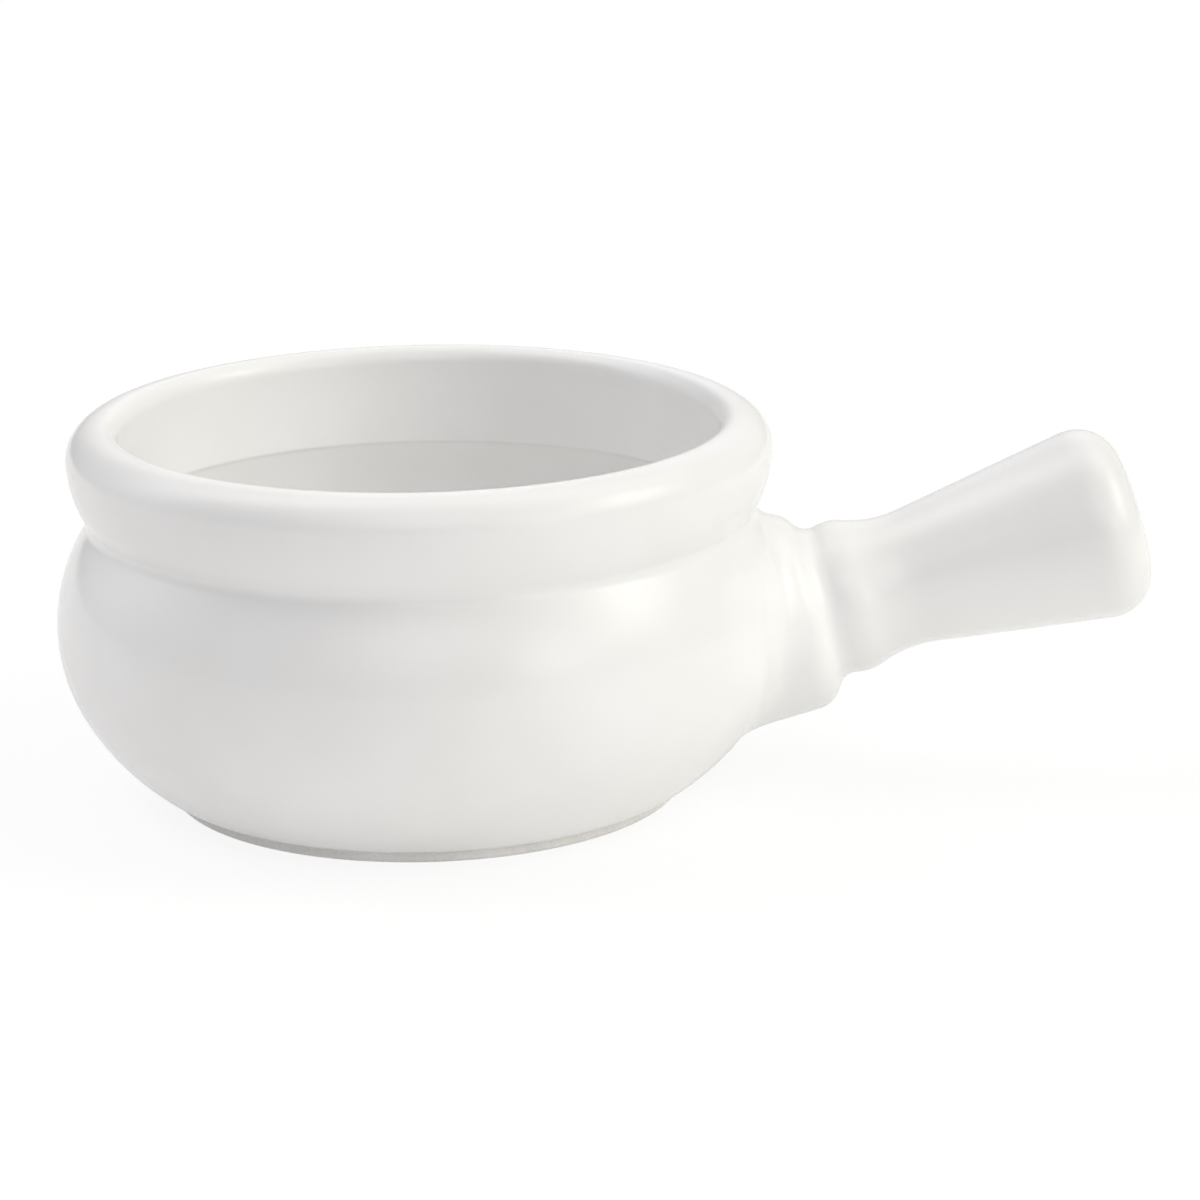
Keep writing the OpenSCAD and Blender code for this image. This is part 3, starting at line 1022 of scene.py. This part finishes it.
@dataclass(frozen=True)
class FiredClay:
    """Bare vitrified stoneware, sponged and fired without glaze.

    The eye sees a dry, chalky off-white with the body's fine grit in it, and no shine.
    """

    name: str = "bare_fired_stoneware"
    colour: str = "#F4F3F1"
    grit_colour: str = "#E7E5E1"
    ior: float = 1.5
    roughness: float = 0.82
    # The body's grit is about 0.2 mm, drawn here at 0.5 mm so that it shows
    grit_mm: float = 0.5
    grit_depth_mm: float = 0.02
    stain_mm: float = 14.0

    def material(self) -> bpy.types.Material:
        """Makes the node material."""
        made = new_material(self.name)
        tree = made.node_tree
        where = add_node(tree, "ShaderNodeTexCoord").outputs["Object"]
        grit = add_node(
            tree, "ShaderNodeTexNoise",
            {"Vector": where, "Scale": per_metre(self.grit_mm), "Detail": 2.0, "Roughness": 0.6},
        ).outputs["Fac"]
        stain = add_node(
            tree, "ShaderNodeTexNoise",
            {"Vector": where, "Scale": per_metre(self.stain_mm), "Detail": 3.0},
        ).outputs["Fac"]
        both = add_node(
            tree, "ShaderNodeMath", {0: grit, 1: stain}, operation="MULTIPLY"
        ).outputs[0]
        spread = add_node(
            tree, "ShaderNodeMapRange", {"Value": both, "From Min": 0.14, "From Max": 0.4}
        ).outputs["Result"]
        colour = add_node(
            tree, "ShaderNodeMix",
            {"Factor": spread, 6: linear(self.colour), 7: linear(self.grit_colour)},
            data_type="RGBA",
        ).outputs[2]
        bump = add_node(
            tree, "ShaderNodeBump", {"Height": grit, "Distance": self.grit_depth_mm * MM, "Strength": 1.0}
        ).outputs["Normal"]
        shader = add_node(
            tree, "ShaderNodeBsdfPrincipled",
            {"Base Color": colour, "Normal": bump, "IOR": self.ior, "Roughness": self.roughness},
        )
        add_node(tree, "ShaderNodeOutputMaterial", {"Surface": shader.outputs["BSDF"]})
        return made


@dataclass(frozen=True)
class PaperSweep:
    """White background paper, matt, on a light table. The camera sees it close to pure white."""

    name: str = "white_background_paper"
    colour: str = "#F4F4F3"
    fibre_colour: str = "#F0F0EE"
    fibre_mm: float = 6.0
    roughness: float = 0.9
    seen_share: float = 0.8
    seen_level: float = 1.05
    mirrored_share: float = 0.3
    # What the light table under the paper adds, which lifts the shade under the belly a little
    glow_share: float = 0.2

    def material(self) -> bpy.types.Material:
        """Makes the node material."""
        made = new_material(self.name)
        tree = made.node_tree
        where = add_node(tree, "ShaderNodeTexCoord").outputs["Object"]
        fibre = add_node(
            tree, "ShaderNodeTexNoise", {"Vector": where, "Scale": per_metre(self.fibre_mm), "Detail": 4.0}
        ).outputs["Fac"]
        colour = add_node(
            tree, "ShaderNodeMix",
            {"Factor": fibre, 6: linear(self.colour), 7: linear(self.fibre_colour)},
            data_type="RGBA",
        ).outputs[2]
        paper = add_node(
            tree, "ShaderNodeBsdfPrincipled", {"Base Color": colour, "Roughness": self.roughness}
        ).outputs["BSDF"]
        white = add_node(tree, "ShaderNodeEmission", {"Strength": self.seen_level}).outputs["Emission"]
        share = white_share(tree, self.seen_share, self.mirrored_share, self.glow_share)
        mixed = add_node(tree, "ShaderNodeMixShader", {0: share, 1: paper, 2: white}).outputs[0]
        add_node(tree, "ShaderNodeOutputMaterial", {"Surface": mixed})
        return made


def white_share(
    tree: bpy.types.NodeTree, camera: float, mirrored: float, other: float = 0.0
) -> bpy.types.NodeSocket:
    """Adds the nodes that say how white a backdrop shows itself to each kind of ray.

    Args:
        tree: The backdrop's node tree.
        camera: Share of plain white that the camera sees.
        mirrored: Share that reflections and views through glass see.
        other: Share that lights other things.

    Returns:
        The output that holds the share.
    """
    path = add_node(tree, "ShaderNodeLightPath").outputs
    bent = add_node(
        tree, "ShaderNodeMath",
        {0: path["Is Glossy Ray"], 1: path["Is Transmission Ray"]}, operation="MAXIMUM",
    ).outputs[0]
    share = add_node(
        tree, "ShaderNodeMath", {0: bent, 1: mirrored - other, 2: other}, operation="MULTIPLY_ADD"
    ).outputs[0]
    return add_node(
        tree, "ShaderNodeMath",
        {0: path["Is Camera Ray"], 1: camera - other, 2: share}, operation="MULTIPLY_ADD",
    ).outputs[0]


def dress(piece: bpy.types.Object, material: bpy.types.Material) -> None:
    """Gives every material slot of a piece one material."""
    if not piece.material_slots:
        piece.data.materials.append(material)
    for slot in piece.material_slots:
        slot.material = material


# The studio


@dataclass(frozen=True)
class PhotoCamera:
    """The camera that the photograph was taken from, as fitted to the crock's outline."""

    back: float = 700.0
    height: float = 232.26
    yaw: float = 0.04418
    pitch: float = 0.27840
    roll: float = -0.013146
    lens: float = 124.304
    sensor: float = 36.0

    def build(self) -> bpy.types.Object:
        """Makes the camera and hands it to the scene."""
        data = bpy.data.cameras.new("photo_camera")
        data.lens = self.lens
        data.sensor_width = self.sensor
        data.clip_start = 0.01
        camera = bpy.data.objects.new("photo_camera", data)
        bpy.context.scene.collection.objects.link(camera)
        ahead = Vector((
            math.sin(self.yaw) * math.cos(self.pitch),
            math.cos(self.yaw) * math.cos(self.pitch),
            -math.sin(self.pitch),
        ))
        right = Vector((math.cos(self.yaw), -math.sin(self.yaw), 0.0))
        up = right.cross(ahead)
        rolled = right * math.cos(self.roll) + up * math.sin(self.roll)
        upright = -right * math.sin(self.roll) + up * math.cos(self.roll)
        place = Matrix((rolled, upright, -ahead)).transposed().to_4x4()
        place.translation = Vector((0.0, -self.back, self.height)) * MM
        camera.matrix_world = place
        bpy.context.scene.camera = camera
        return camera


class Tone(Enum):
    """The colours of the room's light."""

    WARM = "#FFFDF2"
    PLAIN = "#FFFDFA"
    COOL = "#F7F6FF"


@dataclass(frozen=True)
class RoomGlow:
    """A soft bright part of the room round the crock, such as a lamp's diffuser or a lit wall."""

    azimuth: float
    elevation: float
    level: float
    tone: Tone = Tone.PLAIN
    tightness: float = 16.0

    def add_to(
        self, tree: bpy.types.NodeTree, way: bpy.types.NodeSocket, before: bpy.types.NodeSocket | Vector
    ) -> bpy.types.NodeSocket:
        """Adds the glow to the light that each direction of the room already gives.

        Args:
            tree: The world's node tree.
            way: The direction that light comes from.
            before: The light of the glows before this one.

        Returns:
            The output that holds the light with this glow in it.
        """
        toward = add_node(
            tree, "ShaderNodeVectorMath",
            {0: way, 1: direction(self.azimuth, self.elevation)}, operation="DOT_PRODUCT",
        ).outputs["Value"]
        facing = add_node(tree, "ShaderNodeMath", {0: toward, 1: 0.0}, operation="MAXIMUM").outputs[0]
        soft = add_node(tree, "ShaderNodeMath", {0: facing, 1: self.tightness}, operation="POWER").outputs[0]
        colour = Vector(linear(self.tone.value)[:3]) * self.level
        return add_node(
            tree, "ShaderNodeVectorMath", {0: soft, 1: colour, 2: before}, operation="MULTIPLY_ADD"
        ).outputs[0]


def direction(azimuth: float, elevation: float) -> Vector:
    """Gives the way to a place in the room; azimuth runs from the camera's side towards the handle."""
    turn, lift = math.radians(azimuth), math.radians(elevation)
    return Vector((math.sin(turn) * math.cos(lift), -math.cos(turn) * math.cos(lift), math.sin(lift)))


@dataclass
class Studio:
    """The floor and the light of the room."""

    table_r: float = 1300.0
    table_drop: float = 0.05
    table_turns: int = 96
    # How much of the white background the glaze mirrors in place of the room
    mirrored_share: float = 0.3
    # The room of the photograph, as matched to the crock's shading: the diffuser by the handle
    # first, then the walls, from the camera's side round to the right
    glows: tuple[RoomGlow, ...] = (
        RoomGlow(85.0, 38.0, 3.5, Tone.WARM, 50.0),
        RoomGlow(70.0, 24.0, 1.82, Tone.WARM, 50.0),
        RoomGlow(40.0, 12.0, 1.73, Tone.WARM, 50.0),
        RoomGlow(40.0, 24.0, 1.39, Tone.COOL, 50.0),
        RoomGlow(0.0, 34.0, 1.86, Tone.COOL),
        RoomGlow(72.0, 34.0, 2.1, Tone.WARM),
        RoomGlow(120.0, 62.0, 1.9),
        RoomGlow(150.0, 8.0, 0.53),
        RoomGlow(180.0, 34.0, 1.12, Tone.COOL),
        RoomGlow(180.0, 8.0, 0.39),
        RoomGlow(240.0, 62.0, 2.16),
        RoomGlow(240.0, 8.0, 0.49),
        RoomGlow(252.0, 34.0, 1.95, Tone.COOL),
        RoomGlow(270.0, 8.0, 0.33),
    )

    def build(self) -> None:
        """Builds the floor and the room round it."""
        self._floor()
        self._room()

    def _floor(self) -> None:
        """Lays the round table of background paper just under the foot ring."""
        edge = ray(np.arange(self.table_turns) * 360 / self.table_turns) * self.table_r
        points = np.column_stack([edge, np.full(self.table_turns, -self.table_drop)])
        floor = new_piece("floor", points, [tuple(range(self.table_turns))])
        dress(floor, PaperSweep().material())

    def _room(self) -> None:
        """Lights the room with its glows, and shows it white to the camera and partly in reflections."""
        world = bpy.data.worlds.new("room")
        bpy.context.scene.world = world
        world.use_nodes = True
        tree = world.node_tree
        tree.nodes.clear()
        seen = white_share(tree, 1.0, self.mirrored_share)
        way = add_node(tree, "ShaderNodeTexCoord").outputs["Generated"]
        light: bpy.types.NodeSocket | Vector = Vector((0.0, 0.0, 0.0))
        for glow in self.glows:
            light = glow.add_to(tree, way, light)
        room = add_node(tree, "ShaderNodeBackground", {"Color": light, "Strength": 1.0}).outputs[0]
        white = add_node(
            tree, "ShaderNodeBackground", {"Color": (1.0, 1.0, 1.0, 1.0), "Strength": 1.0}
        ).outputs[0]
        mixed = add_node(tree, "ShaderNodeMixShader", {0: seen, 1: room, 2: white}).outputs[0]
        add_node(tree, "ShaderNodeOutputWorld", {"Surface": mixed})


def main() -> None:
    """Builds the crock piece by piece, then the studio round it."""
    logging.basicConfig(level=logging.INFO, format="%(message)s")
    bpy.context.scene.view_settings.view_transform = "Standard"
    glaze = WhiteGlaze().material()
    clay = FiredClay().material()

    for node, finish in (("bowl", clay), ("handle", clay), ("luting_slip", glaze)):
        dress(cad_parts[node], finish)
        log.info("packed solid %s in %s", node, finish.name)

    pieces = (
        (BowlGlaze().build(), ("outer_glaze", "inner_glaze")),
        (BaseGlaze().build(), ("outer_glaze",)),
        (HandleGlaze().build(), ("handle_glaze",)),
    )
    for piece, nodes in pieces:
        dress(piece, glaze)
        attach(piece, BODY)
        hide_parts(*nodes)
        log.info("piece %s stands for %s", piece.name, ", ".join(nodes))

    PhotoCamera().build()
    Studio().build()


if __name__ == "__main__":
    main()
